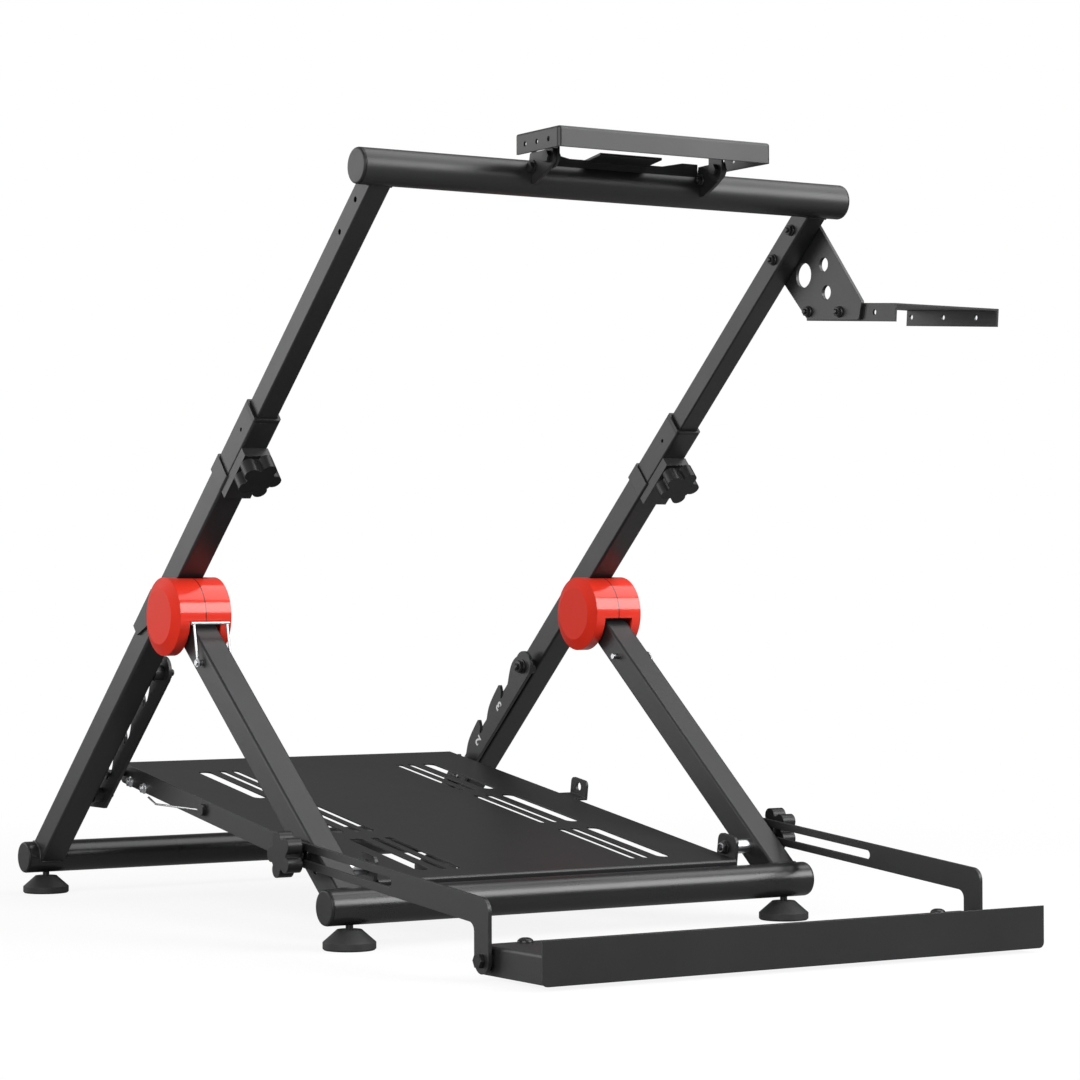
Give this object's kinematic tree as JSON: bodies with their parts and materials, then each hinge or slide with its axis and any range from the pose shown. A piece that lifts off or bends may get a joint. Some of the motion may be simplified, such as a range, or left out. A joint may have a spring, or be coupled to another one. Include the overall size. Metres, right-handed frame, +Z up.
{
  "type": "racing wheel stand",
  "caption": "Folding stand for a game steering wheel and pedals: crossed tube legs on red hubs, sloping slotted pedal plate, wheel plate, gear lever shelf and chair stop.",
  "frame": {"origin": "on the floor, midway between the four feet", "axes": "+X to the right as the driver faces the stand, +Y to the rear and away from the driver, +Z up"},
  "size_m": [0.7658, 1.2087, 0.8415],
  "materials": {
    "black_steel": "satin powder coat",
    "red_plastic": "gloss",
    "black_plastic": "matt",
    "foot_rubber": "matt",
    "zinc": "bright zinc",
    "bright_wire": "polished"
  },
  "bodies": {
    "rear_frame": {"rear_tube": "black_steel", "rear_end_caps": "black_plastic", "rear_feet": "foot_rubber", "rear_foot_studs": "zinc", "long_leg_left": "black_steel", "long_leg_right": "black_steel", "leg_bushings": "black_plastic", "clamp_collar_left": "black_steel", "clamp_collar_right": "black_steel", "hub_bracket_left": "black_steel", "hub_bracket_right": "black_steel", "hub_pins": "zinc", "hub_cover_left_outer": "red_plastic", "hub_cover_left_inner": "red_plastic", "hub_cover_right_outer": "red_plastic", "hub_cover_right_inner": "red_plastic", "notched_plate_left": "black_steel", "notched_plate_right": "black_steel", "notched_plate_spacers": "zinc"},
    "front_frame": {"front_tube": "black_steel", "front_end_caps": "black_plastic", "front_feet": "foot_rubber", "front_foot_studs": "zinc", "short_leg_left": "black_steel", "short_leg_right": "black_steel", "lock_pin_left": "bright_wire", "lock_pin_right": "bright_wire", "pedal_pivot_pins": "zinc", "arm_spacers": "zinc"},
    "pedal_plate": {"pedal_plate": "black_steel", "pedal_front_ears": "black_steel", "pedal_mid_ear": "black_steel", "rest_rod": "zinc", "plate_pin": "zinc"},
    "upper_frame": {"inner_leg_left": "black_steel", "inner_leg_right": "black_steel", "crossbar": "black_steel", "crossbar_caps": "black_plastic", "wheel_bracket": "black_steel", "shifter_gusset": "black_steel", "shifter_shelf": "black_steel"},
    "wheel_plate": {"wheel_plate": "black_steel", "wheel_pivot_bolts": "zinc"},
    "chair_arms": {"chair_arm_left": "black_steel", "chair_arm_right": "black_steel"},
    "chair_bar": {"chair_bar": "black_steel", "chair_bar_lip": "black_steel", "chair_bar_bolts": "zinc"},
    "leg_knob_left": {"leg_knob_left": "black_plastic"},
    "leg_knob_right": {"leg_knob_right": "black_plastic"},
    "arm_knob_left": {"arm_knob_left": "black_plastic"},
    "arm_knob_right": {"arm_knob_right": "black_plastic"}
  },
  "joints": [
    {"name": "frame_fold", "type": "hinge", "parent": "rear_frame", "child": "front_frame", "pos_m": [0, -0.01084, 0.34145], "axis": [1, 0, 0], "range_deg": [0, 93]},
    {"name": "pedal_plate_fold", "type": "hinge", "parent": "front_frame", "child": "pedal_plate", "pos_m": [0, -0.33997, 0.08006], "axis": [1, 0, 0], "range_deg": [0, 29.9]},
    {"name": "height_slide", "type": "slide", "parent": "rear_frame", "child": "upper_frame", "axis": [0, -0.7432, 0.6691], "range_m": [-0.2, 0.07]},
    {"name": "wheel_plate_tilt", "type": "hinge", "parent": "upper_frame", "child": "wheel_plate", "pos_m": [0, -0.505, 0.8176], "axis": [-1, 0, 0], "range_deg": [-10, 20]},
    {"name": "chair_stop_slide", "type": "slide", "parent": "front_frame", "child": "chair_arms", "axis": [0, 0.9966, 0.0819], "range_m": [0, 0.17]},
    {"name": "chair_bar_tilt", "type": "hinge", "parent": "chair_arms", "child": "chair_bar", "pos_m": [0, -0.68685, 0.0185], "axis": [-1, 0, 0], "range_deg": [0, 60]},
    {"name": "leg_knob_left_turn", "type": "hinge", "parent": "rear_frame", "child": "leg_knob_left", "pos_m": [-0.2775, -0.17033, 0.50655], "axis": [0, -0.6691, -0.7432], "continuous": true},
    {"name": "leg_knob_right_turn", "type": "hinge", "parent": "rear_frame", "child": "leg_knob_right", "pos_m": [0.2775, -0.17033, 0.50655], "axis": [0, -0.6691, -0.7432], "continuous": true},
    {"name": "arm_knob_left_turn", "type": "hinge", "parent": "front_frame", "child": "arm_knob_left", "pos_m": [-0.3, -0.32079, 0.0953], "axis": [-1, 0, 0], "continuous": true},
    {"name": "arm_knob_right_turn", "type": "hinge", "parent": "front_frame", "child": "arm_knob_right", "pos_m": [0.3, -0.32079, 0.0953], "axis": [1, 0, 0], "continuous": true}
  ],
  "couplings": [
    {"joint": "pedal_plate_fold", "follows": "frame_fold", "ratio": 0.3204}
  ]
}
